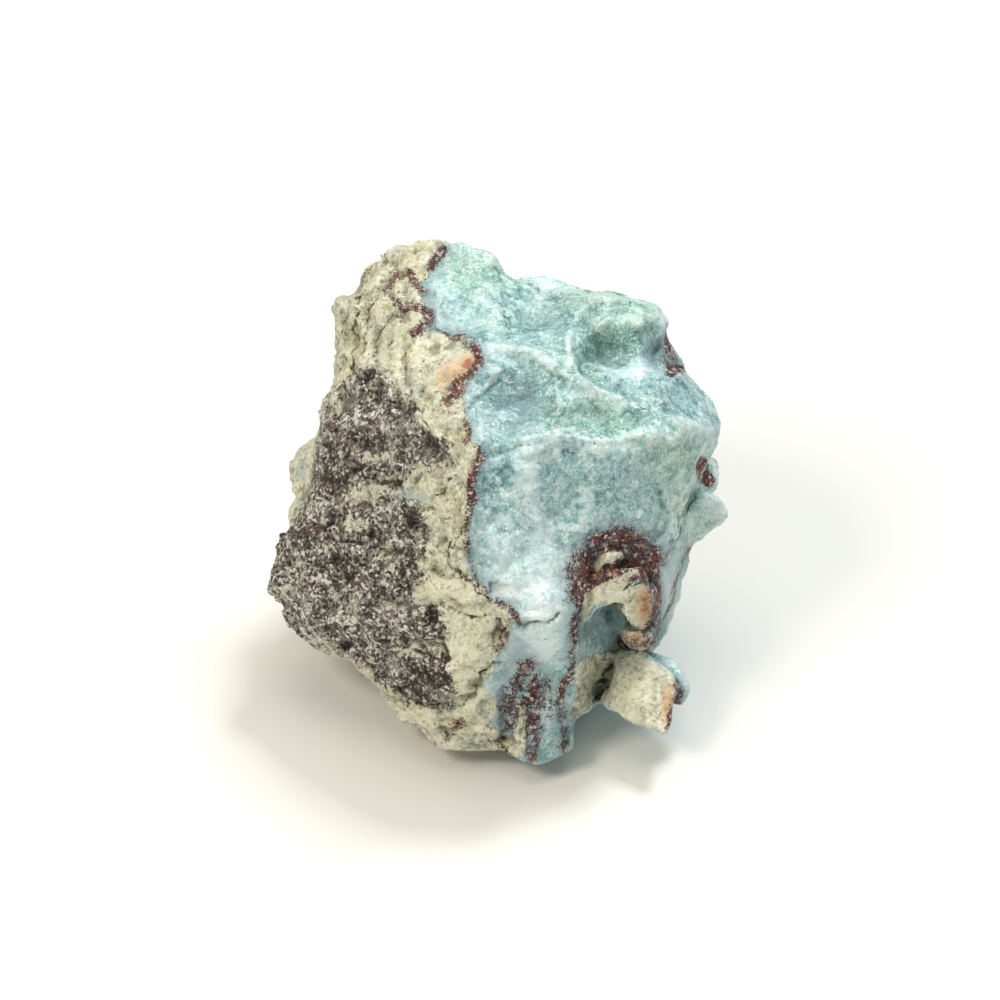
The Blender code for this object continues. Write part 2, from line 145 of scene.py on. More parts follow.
shape = bmesh.new()
shape.from_mesh(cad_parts["larimar_stone"].data)
bmesh.ops.remove_doubles(shape, verts=shape.verts, dist=SAME_POINT)
for corners in HOLLOW_BITS.values():
    made = [shape.verts.new(corner) for corner in from_sight(corners)]
    hull = bmesh.ops.convex_hull(shape, input=made)
    inner = [v for v in hull["geom_interior"] if isinstance(v, bmesh.types.BMVert)]
    bmesh.ops.delete(shape, geom=inner, context="VERTS")
bmesh.ops.recalc_face_normals(shape, faces=shape.faces)
form = bpy.data.meshes.new("broken_form")
shape.to_mesh(form)
shape.free()
form = with_modifier(form, "REMESH", mode="VOXEL", voxel_size=SKIN_GRAIN * MM)
form = with_modifier(form, "SMOOTH", factor=0.5, iterations=1)


def largest_shell(mesh):
    """Leaves only the outer skin, without the sealed pockets that joining can make."""
    body = bmesh.new()
    body.from_mesh(mesh)
    left = set(body.verts)
    shells = []
    while left:
        shell = {left.pop()}
        edge = set(shell)
        while edge:
            edge = {e.other_vert(v) for v in edge for e in v.link_edges} - shell
            shell |= edge
        left -= shell
        shells.append(shell)
    shells.sort(key=len)
    for shell in shells[:-1]:
        bmesh.ops.delete(body, geom=list(shell), context="VERTS")
    body.to_mesh(mesh)
    body.free()


largest_shell(form)


def read_skin(mesh):
    """Each point's place in millimetres, its normal, and the skin's edges."""
    count = len(mesh.vertices)
    place = np.empty(count * 3)
    mesh.vertices.foreach_get("co", place)
    normal = np.empty(count * 3)
    mesh.vertices.foreach_get("normal", normal)
    edges = np.empty(len(mesh.edges) * 2, int)
    mesh.edges.foreach_get("vertices", edges)
    return place.reshape(-1, 3) / MM, normal.reshape(-1, 3), edges.reshape(-1, 2)


skin, facing_way, skin_edges = read_skin(form)


def in_photo(place):
    """Pixels of the photograph at which points of the stone are seen, and how far out they lie."""
    from_target = place - SIGHT_TARGET
    out = from_target @ OUT
    scale = SIGHT_DISTANCE / (SIGHT_DISTANCE - out) / PIXEL
    across = FRAME_MIDDLE + (from_target @ ACROSS) * scale
    down = FRAME_MIDDLE - (from_target @ UP) * scale
    return np.stack((across, down), 1), out


spots, depth_out = in_photo(skin)
# The front is what faces the eye; it fades out where the stone turns edge on
EDGE_ON = 0.15
front = np.clip((facing_way @ OUT + EDGE_ON) / (2 * EDGE_ON), 0, 1)
GRAIN_FADE = 0.9
GRAIN_STEP = 2.1


def grain(place, size, octaves=4, seed=0.0):
    """Uneven lumps of a size in millimetres at every place, from about -1 to 1."""
    shift = Vector((seed, seed * 1.7, -seed))
    return np.array([
        noise.fractal(Vector(p) / size + shift, GRAIN_FADE, GRAIN_STEP, octaves)
        for p in place.tolist()
    ])


# Where the rocks meet they are ragged by a few pixels, and on the hidden sides they wander far off
# the front's lines
WANDER = 38.0
WANDER_SIZE = 9.0
RAGGED = 2.5
bend = np.stack((grain(skin, WANDER_SIZE, 2, 3.0), grain(skin, WANDER_SIZE, 2, 8.0)), 1)
met_at = spots + bend * WANDER * (1 - front)[:, None] + bend * RAGGED


def line_gap(line, at=met_at):
    """How far every point of the skin is seen from a line, in pixels."""
    nearest = np.full(len(at), np.inf)
    for start, end in zip(line, line[1:]):
        start = np.array(start, float)
        run = np.array(end, float) - start
        along = np.clip((at - start) @ run / (run @ run), 0, 1)
        gap = at - start - along[:, None] * run
        nearest = np.minimum(nearest, np.hypot(gap[:, 0], gap[:, 1]))
    return nearest


def patch_gap(outline):
    """How deep every point lies inside a closed outline in pixels, and below zero outside it."""
    across, down = met_at.T
    closed = outline + outline[:1]
    inside = np.zeros(len(skin), bool)
    for (x0, y0), (x1, y1) in zip(closed, closed[1:]):
        if y0 == y1:
            continue
        crosses = (down >= min(y0, y1)) & (down < max(y0, y1))
        crossing = x0 + (down - y0) * (x1 - x0) / (y1 - y0)
        inside ^= crosses & (across < crossing)
    gap = line_gap(closed)
    return np.where(inside, gap, -gap)


def zones(places):
    """The sum of soft round zones: each has its middle, half width and height, and strength."""
    across, down = met_at.T
    total = np.zeros(len(skin))
    for x, y, width, height, strength in places:
        gap = ((across - x) / width) ** 2 + ((down - y) / height) ** 2
        total += strength * np.exp(-gap)
    return total


# Basalt: the dark volcanic rock that the larimar grew in. It broke along its own flat face at the
# left, with a few ledges, and its fine grains of pale feldspar make it look like salt and pepper.
BASALT_EDGE = [
    (373, 366), (382, 375), (390, 385), (400, 395), (409, 403), (414, 418), (425, 428),
    (438, 433), (448, 441), (451, 452), (446, 461), (430, 463), (418, 466), (415, 475),
    (404, 484), (399, 494), (410, 499), (420, 503), (424, 520), (427, 540), (425, 552),
    (421, 566), (425, 578), (422, 586), (410, 597), (420, 603), (430, 601), (438, 606),
    (443, 618), (440, 630), (443, 640), (432, 646), (440, 655), (448, 665), (452, 680),
    (453, 695), (447, 710), (437, 713), (420, 708), (400, 695), (375, 673), (350, 655),
    (330, 643), (310, 636), (290, 625), (240, 640), (240, 520), (290, 500), (306, 478),
    (311, 460), (316, 440), (321, 420), (329, 404), (340, 390), (352, 380), (362, 371),
]
# The basalt ends a little behind the stone's middle, and further back below a row of the photo
BASALT_BACK = -3.5
BASALT_FLARE = 0.05
FLARE_TOP = 540
FLARE_HEIGHT = 100
basalt_behind = depth_out - BASALT_BACK
basalt_behind += BASALT_FLARE * np.clip(spots[:, 1] - FLARE_TOP, 0, FLARE_HEIGHT)
basalt_inside = np.minimum(patch_gap(BASALT_EDGE) * PIXEL, basalt_behind)
BASALT_DENSE = [
    (430, 445, 22, 16, 1.0), (412, 520, 16, 22, 0.9), (360, 440, 28, 22, 0.6),
    (425, 685, 26, 20, 0.9), (436, 622, 9, 20, 0.9), (330, 480, 18, 16, 0.9),
    (415, 560, 10, 22, 0.5), (375, 385, 14, 12, 0.8),
]
BASALT_RUST = [
    (335, 430, 8, 12, 0.8), (322, 482, 8, 12, 1.0), (311, 531, 8, 7, 1.2), (350, 500, 14, 8, 0.7),
    (372, 590, 12, 6, 0.5), (400, 610, 12, 8, 0.4), (435, 615, 8, 10, 0.5),
]
BASALT_PALE = [
    (385, 555, 8, 10, 1.0), (352, 524, 14, 5, 1.0), (372, 492, 20, 9, 0.8), (340, 408, 8, 9, 0.7),
    (412, 650, 20, 5, 0.9), (360, 400, 20, 12, 0.4), (395, 480, 18, 6, 0.8),
    (300, 570, 14, 16, 0.4), (287, 590, 6, 7, 0.8), (380, 460, 20, 5, 0.5),
]

# Crust: the dry cream and grey-green skin of weathered rock between the basalt and the seam. It
# broke off in upright flutes at the upper left and in soft crumbs everywhere else.
SEAM = [
    (452, 225), (440, 252), (435, 260), (430, 270), (420, 290), (424, 300), (426, 315),
    (425, 328), (435, 330), (447, 338), (460, 338), (470, 343), (472, 352), (480, 362),
    (476, 372), (465, 385), (462, 395), (465, 408), (468, 420), (470, 435), (480, 447),
    (478, 460), (472, 475), (470, 490), (472, 505), (470, 520), (466, 535), (465, 550),
    (468, 565), (475, 578), (492, 600), (508, 607), (516, 622),
]
CRUST_FOOT = [
    (506, 640), (500, 655), (493, 665), (484, 678), (483, 690), (495, 699), (498, 708),
    (490, 722), (500, 734), (508, 742), (498, 790),
]
CRUST_EDGE = SEAM + CRUST_FOOT + [(200, 790), (200, 225)]
CREAM_FLAKES = {
    "small flake": [
        (590, 575), (592, 563), (600, 553), (612, 549), (624, 549), (624, 558), (615, 566),
        (602, 570), (594, 578),
    ],
    "arch": [
        (580, 592), (592, 584), (605, 578), (620, 573), (632, 566), (642, 565), (642, 576),
        (632, 583), (645, 584), (651, 594), (651, 612), (648, 628), (640, 634), (630, 628),
        (622, 616), (614, 607), (605, 601), (595, 603), (589, 612), (585, 622), (579, 612),
    ],
    "foot of the hollow": [
        (575, 664), (590, 655), (606, 650), (614, 640), (628, 645), (640, 653), (655, 663),
        (671, 672), (679, 682), (672, 705), (668, 736), (652, 733), (628, 718), (604, 706),
        (596, 702), (585, 715), (572, 720),
    ],
    "brown lump": [
        (617, 627), (640, 631), (652, 629), (653, 648), (640, 657), (620, 648),
    ],
    "lobe at the foot": [
        (519, 700), (528, 704), (527, 720), (528, 740), (524, 754), (512, 758), (503, 750),
        (506, 740), (513, 730), (515, 715),
    ],
}
CRUST_PALE = [
    (428, 590, 26, 14, 1.0), (466, 640, 20, 40, 1.0), (440, 720, 30, 16, 0.6),
    (425, 330, 12, 20, 0.5), (412, 345, 10, 20, 0.6), (396, 370, 10, 14, 0.6),
    (600, 610, 20, 16, 0.5), (640, 690, 26, 24, 0.4), (440, 350, 16, 14, 0.4),
    (380, 245, 20, 14, 0.3), (350, 310, 44, 60, -1.3), (450, 660, 50, 50, 0.7),
    (470, 700, 44, 60, 0.5), (620, 590, 36, 26, 0.6), (640, 690, 40, 40, 0.4),
]
CRUST_BLUE = [
    (405, 492, 14, 9, 1.0), (406, 575, 8, 14, 1.1), (478, 640, 8, 16, 0.8),
    (480, 712, 14, 18, 1.0), (445, 672, 14, 18, 0.9), (425, 500, 14, 8, 0.8),
    (338, 310, 6, 10, 0.7), (300, 470, 8, 18, 0.8), (388, 290, 6, 8, 0.7), (372, 340, 4, 20, 0.5),
    (665, 668, 14, 8, 0.9), (604, 712, 14, 5, 0.8), (470, 745, 20, 5, 0.6),
    (430, 395, 12, 10, 0.4), (612, 625, 6, 10, 0.6),
]
FAR_OUTSIDE = -9
DEEP_INSIDE = 6
crust_side = patch_gap(CRUST_EDGE) * PIXEL
for flake in CREAM_FLAKES.values():
    on_front = np.where(front > 0.3, patch_gap(flake) * PIXEL, FAR_OUTSIDE)
    crust_side = np.maximum(crust_side, on_front)
# The hidden back has crust too, from its foot up to a ragged, leaning border
BACK_CRUST_TOP = 38
BACK_CRUST_START = 7
BACK_CRUST_LEAN = 0.2
BACK_CRUST_LUMP = 13
BACK_CRUST_RAGGED = 7.0
height_up = skin[:, 2]
back_crust = skin[:, 1] - BACK_CRUST_START - BACK_CRUST_LEAN * (height_up - 20)
back_crust = np.minimum(back_crust, BACK_CRUST_TOP - height_up)
back_crust += BACK_CRUST_RAGGED * grain(skin, BACK_CRUST_LUMP, 4, 5.0) + FAR_OUTSIDE * front
crust_side = np.maximum(crust_side, np.clip(back_crust, FAR_OUTSIDE, DEEP_INSIDE))

# Seam: a thread of rust-red hematite where crust and larimar meet. It also rims the hollow at the
# lower right and stains the foot, always as small dark crystals that thin out towards the blue.
# Each line has the half width of its core and of its tail in pixels, and how full it is.
RUST_LINES = [
    (SEAM, 0, 5, 0.55),
    ([(443, 250), (438, 257), (432, 266)], 2, 8, 1.0),
    ([(410, 274), (418, 284), (422, 290)], 2, 9, 0.9),
    ([(396, 274), (391, 284), (384, 293)], 1, 9, 0.85),
    ([(385, 293), (392, 298), (400, 304)], 1, 8, 0.8),
    ([(374, 260), (366, 270), (361, 282)], 1, 5, 0.75),
    ([(404, 309), (414, 306), (426, 311), (430, 320), (423, 327), (417, 332)], 2, 10, 0.9),
    ([(421, 334), (436, 329), (450, 337), (464, 337), (474, 341)], 0.5, 6, 0.85),
    ([(452, 340), (461, 342), (470, 348)], 1, 7, 0.8),
    ([(474, 348), (479, 358), (477, 366), (470, 374), (464, 378), (456, 386), (450, 396)],
     2, 7, 1.0),
    ([(437, 362), (446, 356)], 0, 5, 0.6),
    ([(462, 385), (456, 396), (446, 402)], 2, 9, 0.9),
    ([(443, 411), (449, 412)], 1, 5, 0.8),
    ([(466, 420), (470, 434), (465, 442)], 1, 7, 0.9),
    ([(479, 447), (481, 456), (476, 464), (474, 474)], 1, 9, 0.95),
    ([(474, 474), (471, 486), (472, 500)], 2.5, 6, 1.0),
    ([(471, 500), (470, 512), (465, 530), (467, 545)], 1.5, 6, 0.85),
    ([(466, 545), (470, 562), (474, 577), (484, 592)], 1, 6, 0.9),
    ([(488, 600), (500, 604), (508, 608), (514, 616), (519, 623)], 1.5, 7, 0.9),
    ([(506, 634), (500, 648)], 1.5, 7, 0.85),
    ([(488, 664), (480, 680)], 0, 5, 0.7),
    ([(578, 594), (577, 578), (579, 565), (588, 553), (598, 542), (612, 536), (626, 536),
      (640, 542), (650, 550), (655, 562)], 3, 20, 1.0),
    ([(655, 562), (655, 580), (657, 600), (654, 615), (648, 628)], 2, 10, 1.0),
    ([(578, 594), (580, 608), (577, 622), (574, 640)], 2, 10, 0.95),
    ([(574, 640), (570, 655), (572, 662), (568, 678)], 1, 8, 0.9),
    ([(568, 678), (563, 690), (560, 704), (562, 718)], 2, 9, 0.9),
    ([(562, 718), (566, 735), (563, 748)], 2, 8, 0.85),
    ([(622, 640), (634, 645), (648, 641)], 4, 8, 0.85),
    ([(676, 684), (680, 692), (674, 706), (668, 716), (664, 728)], 2, 8, 0.95),
    ([(676, 578), (672, 600), (660, 622), (652, 645)], 0.5, 5, 0.85),
    ([(690, 546), (684, 562), (676, 578)], 0.5, 5, 0.8),
    ([(668, 332), (667, 348), (671, 358)], 1.5, 5, 0.9),
    ([(662, 360), (675, 358), (683, 372)], 2, 7, 0.6),
    ([(462, 722), (452, 728), (446, 738)], 2, 9, 0.75),
    ([(478, 742), (500, 744), (512, 752)], 0, 7, 0.75),
    ([(526, 664), (520, 684), (510, 700), (508, 726)], 4.5, 14, 0.87),
    ([(534, 680), (538, 696), (534, 715), (532, 754)], 3.5, 12, 0.87),
    ([(548, 680), (552, 700), (550, 716)], 0, 9, 0.75),
    ([(514, 712), (524, 708), (534, 704)], 5, 10, 0.85),
    ([(520, 684), (534, 690), (546, 698)], 2, 9, 0.8),
    ([(350, 488), (356, 500)], 1, 5, 0.5),
]
RED_WALL = [
    (582, 602), (580, 570), (588, 556), (602, 545), (625, 540), (643, 548), (652, 562),
    (651, 590), (640, 580), (600, 586), (588, 598),
]
BROWN_RECESSES = [
    (676, 368, 11, 5, 2.0), (668, 345, 4, 11, 2.0), (703, 466, 7, 7, 2.2), (708, 480, 7, 8, 2.0),
]
HALO_REACH = 8
FLAKE_RIM = 3
HIDDEN_SEAM = 0.85
HIDDEN_SEAM_WIDTH = 1.2
rust = np.zeros(len(skin))
halo = np.zeros(len(skin))
for line, core, tail, share in RUST_LINES:
    gap = line_gap(line) - core
    rust = np.maximum(rust, share * np.clip(1 - gap / tail, 0, 1))
    halo = np.maximum(halo, share * np.clip(1 - gap / (tail + HALO_REACH), 0, 1))
rust = np.maximum(rust, np.clip(0.8 + patch_gap(RED_WALL) / 6, 0, 1))
rust = np.maximum(rust, np.clip(zones(BROWN_RECESSES), 0, 1.3))
on_flake = patch_gap(CREAM_FLAKES["small flake"])
for name in ("arch", "foot of the hollow", "lobe at the foot"):
    on_flake = np.maximum(on_flake, patch_gap(CREAM_FLAKES[name]) - FLAKE_RIM)
rust *= front * np.clip(1 - on_flake / 4, 0, 1)
hidden_seam = np.clip(HIDDEN_SEAM - np.abs(crust_side) / HIDDEN_SEAM_WIDTH, 0, 1)
rust = np.maximum(rust, (1 - front) * hidden_seam)
PEACH_STAINS = [
    (452, 371, 16, 11, 1.2), (470, 364, 8, 9, 2.2), (440, 385, 8, 9, 1.0), (461, 379, 10, 5, 1.3),
    (455, 722, 16, 8, 0.9), (640, 612, 12, 18, 0.9), (636, 638, 10, 6, 1.0),
    (668, 706, 9, 24, 2.0), (606, 574, 26, 6, 1.3), (646, 600, 9, 24, 1.6), (590, 592, 10, 8, 0.8),
    (380, 262, 14, 8, 0.5), (425, 735, 14, 8, 0.5), (636, 642, 16, 12, 0.6),
    (476, 490, 4, 30, 0.7), (500, 640, 5, 14, 0.6), (540, 694, 6, 8, 0.7), (560, 696, 5, 16, 0.9),
    (645, 560, 12, 8, 0.6), (566, 745, 6, 10, 0.8), (408, 302, 6, 5, 0.5), (428, 316, 8, 5, 0.4),
]
peach = zones(PEACH_STAINS) * front

# Larimar: blue pectolite, a mass of fine felted fibres. It is milky white where the fibres are
# loose, green where it is dense and clear, and it broke in shallow shells with bruised edges.
MILK_ZONES = [
    (448, 325, 18, 18, 0.7), (440, 285, 14, 20, 0.3), (497, 322, 8, 26, 0.5),
    (478, 352, 20, 8, 0.7), (520, 356, 26, 6, 0.5), (550, 366, 14, 7, 0.5), (568, 352, 4, 18, 0.9),
    (580, 395, 22, 4, 0.5), (620, 405, 26, 5, 0.5), (545, 584, 38, 34, 1.0),
    (527, 478, 11, 24, 0.7), (540, 530, 12, 28, 0.6), (585, 500, 12, 20, 0.3),
    (528, 452, 12, 16, 0.5), (603, 446, 40, 8, 0.85), (558, 437, 13, 7, 0.9),
    (538, 612, 26, 9, 0.9), (500, 590, 16, 10, 1.1), (640, 368, 18, 9, 1.0),
    (610, 367, 10, 6, 0.7), (672, 600, 12, 40, 1.1), (706, 520, 20, 16, 0.3),
    (650, 432, 20, 4, 0.7), (495, 715, 12, 24, 0.8), (485, 700, 12, 12, 0.5),
    (500, 540, 22, 40, 0.5), (548, 630, 22, 14, 0.5), (688, 680, 10, 14, 0.9),
    (620, 525, 26, 8, 0.4), (545, 287, 14, 8, 0.9), (540, 648, 30, 18, 0.9),
    (546, 708, 8, 18, 1.0), (522, 705, 26, 44, 0.8), (514, 668, 10, 8, 0.5),
    (480, 425, 10, 20, 0.5), (662, 318, 6, 14, 0.7), (545, 335, 10, 6, 0.4),
    (690, 430, 16, 6, 0.4), (508, 412, 8, 8, 0.5), (660, 540, 14, 6, 0.5),
]
GREEN_ZONES = [
    (600, 352, 32, 20, 1.3), (585, 370, 12, 14, 1.0), (600, 310, 90, 50, 0.35),
    (560, 490, 50, 50, -1.0), (600, 416, 50, 17, 1.3), (555, 418, 12, 14, 1.0),
    (670, 455, 30, 26, 0.8), (640, 320, 26, 20, 0.7), (600, 298, 40, 14, 0.9),
    (478, 268, 38, 28, 1.3), (695, 520, 28, 22, 1.0), (500, 325, 18, 14, 0.8),
    (530, 378, 26, 14, 0.5), (545, 288, 20, 12, 0.8), (640, 440, 60, 10, 0.7),
    (690, 500, 20, 40, 0.6), (610, 500, 30, 20, 0.3), (560, 350, 20, 14, 0.5),
    (560, 615, 10, 8, 0.4),
]
DEEP_ZONES = [
    (510, 402, 34, 34, 1.1), (598, 416, 46, 14, 0.45), (668, 404, 34, 22, 0.5),
    (620, 352, 34, 14, 0.3), (590, 335, 120, 60, 0.35), (590, 366, 20, 16, 0.8),
    (605, 345, 26, 12, 0.8), (553, 420, 9, 11, 0.9), (508, 472, 18, 14, 0.5),
    (568, 486, 24, 16, 0.2), (560, 300, 20, 8, 0.6), (535, 330, 18, 10, 0.4),
    (572, 448, 6, 6, 1.4), (520, 395, 24, 20, 0.5), (595, 650, 12, 22, 0.3),
    (548, 650, 34, 20, -0.9), (706, 520, 24, 22, -1.0), (672, 480, 34, 44, -0.35),
    (548, 722, 14, 20, 0.2), (488, 672, 14, 12, 0.4), (620, 470, 20, 14, 0.3),
    (667, 460, 4, 24, 0.6), (640, 500, 6, 20, 0.4), (660, 585, 4, 30, 0.3), (665, 385, 30, 5, 0.3),
    (600, 478, 18, 12, 0.3), (505, 535, 14, 16, 0.3),
]
GREY_ZONES = [
    (506, 404, 38, 42, 0.8), (455, 255, 16, 14, 0.6), (480, 515, 12, 40, 0.6),
    (540, 660, 26, 10, 0.5), (500, 680, 18, 18, 0.8), (546, 715, 20, 40, 0.6),
    (505, 700, 24, 34, 0.4), (600, 630, 26, 34, 0.8), (560, 310, 34, 18, 0.5),
    (650, 392, 40, 12, 0.5), (500, 600, 14, 8, 0.5), (672, 356, 12, 24, 1.2),
    (585, 545, 22, 14, 0.3), (665, 630, 10, 20, 0.6),
]
milk = zones(MILK_ZONES)
green = zones(GREEN_ZONES)
deep = zones(DEEP_ZONES)
grey = zones(GREY_ZONES)

# Breakage: every face is uneven in its own way. Basalt and crust are rough at the size of their
# crumbs, larimar breaks into shallow shells, and ledges and cracks run where the photograph has
# them. A crack or ridge has its reach in pixels and its height in millimetres, and so has a dell.
CRACKS = [
    ([(590, 580), (594, 574), (604, 568), (616, 567), (626, 560)], 3.5, 0.9),
    ([(603, 549), (612, 546), (626, 546), (642, 546)], 3.5, 0.7),
    ([(500, 620), (499, 627), (502, 632), (497, 638)], 2.5, 0.6),
    ([(446, 712), (456, 709), (466, 702), (474, 695), (480, 684), (482, 674), (490, 667),
      (500, 655)], 2.5, 0.45),
    ([(325, 536), (336, 540), (350, 541), (368, 545), (385, 543)], 4.5, 0.9),
    ([(375, 479), (388, 483), (400, 480)], 5.0, 1.0),
    ([(345, 469), (360, 467), (375, 466)], 4.5, 0.7),
    ([(380, 640), (400, 646), (420, 653), (445, 661)], 4.5, 0.7),
    ([(395, 690), (410, 700), (428, 708), (446, 712)], 3.5, 0.5),
    ([(500, 265), (530, 283), (553, 301)], 4.0, 0.4),
    ([(500, 300), (504, 315), (510, 330), (511, 342)], 3.0, 0.4),
    ([(480, 459), (492, 455), (504, 452), (520, 449), (545, 440)], 3.0, 0.2),
    ([(562, 440), (563, 450), (570, 456), (580, 446)], 2.5, 0.4),
    ([(695, 495), (685, 510), (680, 520), (678, 535), (668, 552)], 3.5, 0.7),
    ([(611, 664), (604, 680), (597, 702)], 5.0, 0.6),
    ([(518, 626), (530, 623), (545, 623), (560, 614)], 3.5, 0.7),
    ([(408, 396), (418, 412), (428, 424)], 3.5, 0.5),
    ([(449, 552), (450, 564), (458, 572), (470, 580), (479, 590), (488, 597)], 2.5, 0.5),
    ([(622, 590), (630, 584), (640, 583)], 3.5, 0.7),
    ([(634, 629), (646, 628)], 3.5, 0.7),
    ([(462, 525), (456, 540), (449, 552)], 2.5, 0.4),
    ([(432, 498), (446, 490), (452, 478)], 2.5, 0.3),
    ([(357, 282), (357, 302), (355, 322), (355, 345), (351, 364), (350, 380)], 5.0, 0.4),
    ([(381, 282), (371, 302), (365, 320), (364, 340), (362, 360)], 5.0, 0.35),
    ([(386, 319), (379, 333), (375, 346), (376, 360), (382, 372)], 5.0, 0.3),
    ([(413, 328), (406, 342), (405, 360), (406, 376), (411, 395), (418, 406)], 5.0, 0.35),
    ([(425, 360), (420, 380), (425, 396), (433, 410)], 4.0, 0.25),
    ([(396, 296), (392, 306), (397, 316), (404, 322)], 4.0, 0.25),
    ([(391, 340), (388, 356), (392, 372), (398, 384)], 4.0, 0.2),
    ([(340, 320), (345, 340), (343, 362), (346, 382)], 4.0, 0.2),
    ([(523, 690), (529, 706), (526, 728), (530, 752)], 3.5, 0.6),
    ([(506, 684), (500, 706), (506, 726), (502, 746)], 3.5, 0.5),
    ([(548, 684), (542, 702), (546, 722), (541, 746)], 3.5, 0.4),
    ([(436, 640), (446, 652), (444, 668), (452, 684)], 3.5, 0.5),
    ([(440, 600), (452, 612), (470, 618), (488, 614)], 3.0, 0.35),
]
RIDGES = [
    ([(472, 345), (500, 348), (530, 352), (560, 372), (590, 388), (620, 400), (650, 414),
      (690, 428)], 7.0, 0.75),
    ([(568, 340), (570, 356), (578, 372), (588, 385)], 5.0, 0.6),
    ([(519, 620), (530, 616), (546, 616)], 5.0, 0.5),
    ([(480, 452), (510, 446), (545, 434)], 6.0, 0.3),
    ([(512, 344), (522, 349), (535, 351)], 4.0, 0.25),
    ([(555, 437), (585, 440), (620, 440), (645, 432)], 4.0, 0.25),
]
DELLS = [
    (600, 418, 42, 13, 1.1), (512, 402, 28, 28, 1.1), (605, 352, 32, 13, 1.5),
    (588, 368, 9, 9, 0.7), (545, 325, 26, 16, 0.6), (570, 490, 24, 24, 0.4),
    (505, 480, 14, 24, 0.3), (655, 480, 12, 40, 0.4), (640, 378, 26, 8, 0.3),
    (545, 652, 28, 16, -0.9), (545, 690, 8, 24, 0.4), (475, 640, 14, 14, -0.6),
    (440, 588, 14, 8, -0.5), (532, 500, 9, 50, -0.4), (515, 745, 9, 7, -0.5),
    (548, 722, 8, 14, -0.4), (418, 478, 14, 8, 0.4), (350, 500, 30, 18, 0.5),
    (330, 480, 16, 14, 0.4), (610, 450, 26, 7, -0.3), (455, 372, 15, 10, -0.5),
    (704, 472, 6, 12, 1.6), (675, 366, 9, 6, 1.2), (668, 345, 4, 10, 0.6),
]
SMOOTH_BULGE = [(545, 590, 44, 44, 1.0), (540, 660, 40, 24, 1.0)]
FLUTED_CRUST = [(378, 330, 44, 60, 0.6)]
THIN_PIECES = [
    (695, 522, 30, 30, 1.2), (612, 600, 44, 54, 1.2), (640, 690, 44, 44, 1.2),
    (300, 490, 20, 50, 1.0), (708, 475, 18, 26, 1.0), (672, 620, 16, 60, 1.0),
]


def bowls(place, size):
    """Shallow bowls that meet in crisp ridges, as a shell-like break leaves them, from 0 to 1."""
    return np.array([noise.voronoi(Vector(p) / size)[0][0] ** 2 for p in place.tolist()])


# The lean of each chip is drawn from a fixed seed, so that every run breaks the stone alike
CHIP_SEED = 2
noise.seed_set(CHIP_SEED)


def chips(place, size):
    """Flat chips of a size in millimetres that each lean their own way, with steps between."""
    high = []
    for point in place.tolist():
        middle = noise.voronoi(Vector(point) / size)[1][0]
        lean = noise.noise_vector(middle * 7.3)
        high.append(lean.dot(Vector(point) - middle * size))
    return np.array(high)


def hollowness(place, normal, edges, rounds):
    """How far each point lies below its surroundings in millimetres, above zero in a hollow."""
    ends = np.concatenate((edges[:, 0], edges[:, 1]))
    others = np.concatenate((edges[:, 1], edges[:, 0]))
    count = np.bincount(ends, minlength=len(place))[:, None]
    smooth = place
    for _ in range(rounds):
        total = [np.bincount(ends, smooth[others, axis], len(place)) for axis in range(3)]
        smooth = np.stack(total, 1) / count
    return ((smooth - place) * normal).sum(1)


crumbs = grain(skin, 1.5, 4, 21.0)
lumps = grain(skin, 4.5, 4, 31.0)
creases = 1 - 2 * np.abs(grain(skin, 3.0, 4, 41.0))
bent = skin + 1.2 * np.stack([grain(skin, 3.2, 2, seed) for seed in (51.0, 61.0, 71.0)], 1)
shells = 0.5 * (bowls(bent, 9.0) - 0.3) + 0.12 * chips(bent, 11.0) + 0.1 * chips(bent + 40, 4.5)
shells *= 1 - 0.6 * np.clip(zones(SMOOTH_BULGE), 0, 1) * front
flakes = 0.35 * chips(bent, 4.2) + 0.2 * chips(bent + 30, 1.9)
basalt_share = np.clip(basalt_inside / 0.6 + 0.5, 0, 1)
crust_share = np.clip(crust_side / 0.6 + 0.5, 0, 1) * (1 - basalt_share)
blue_share = (1 - basalt_share) * (1 - crust_share)
calm = 1 - zones(FLUTED_CRUST) * front
# Joining has rounded the creases, so they are sharpened again. Those of the fluted crust are
# evened out instead, because its flutes are drawn as cracks.
sharper = 1.5 - 1.95 * np.clip(calm, 0.4, 1)
rise = sharper * hollowness(skin, facing_way, skin_edges, rounds=6)
rise += basalt_share * (0.14 * crumbs + 0.45 * lumps + 0.2 * creases + 1.4 * flakes)
rise += crust_share * calm * (0.1 * crumbs + 0.25 * lumps + 0.08 * creases + 1.15 * flakes)
rise += blue_share * shells
for x, y, width, height, depth in DELLS:
    rise -= front * zones([(x, y, width, height, depth)])
CRACK_RAGGED = 5.0
NO_CLEFT = 9.0
crooked = np.stack((grain(skin, 1.6, 2, 81.0), grain(skin, 1.6, 2, 91.0)), 1)
ragged_at = spots + CRACK_RAGGED * crooked
# How near each point is seen to a crack, for the painted shade along the cracks
cleft = np.full(len(skin), NO_CLEFT)
for line, reach, drop in CRACKS:
    gap = line_gap(line, ragged_at)
    rise -= front * drop * np.clip(1 - gap / reach, 0, 1)
    cleft = np.minimum(cleft, gap * 0.6 / drop + 3 * (1 - front))
for line, reach, height in RIDGES:
    rise += front * height * np.clip(1 - line_gap(line) / reach, 0, 1) ** 0.8
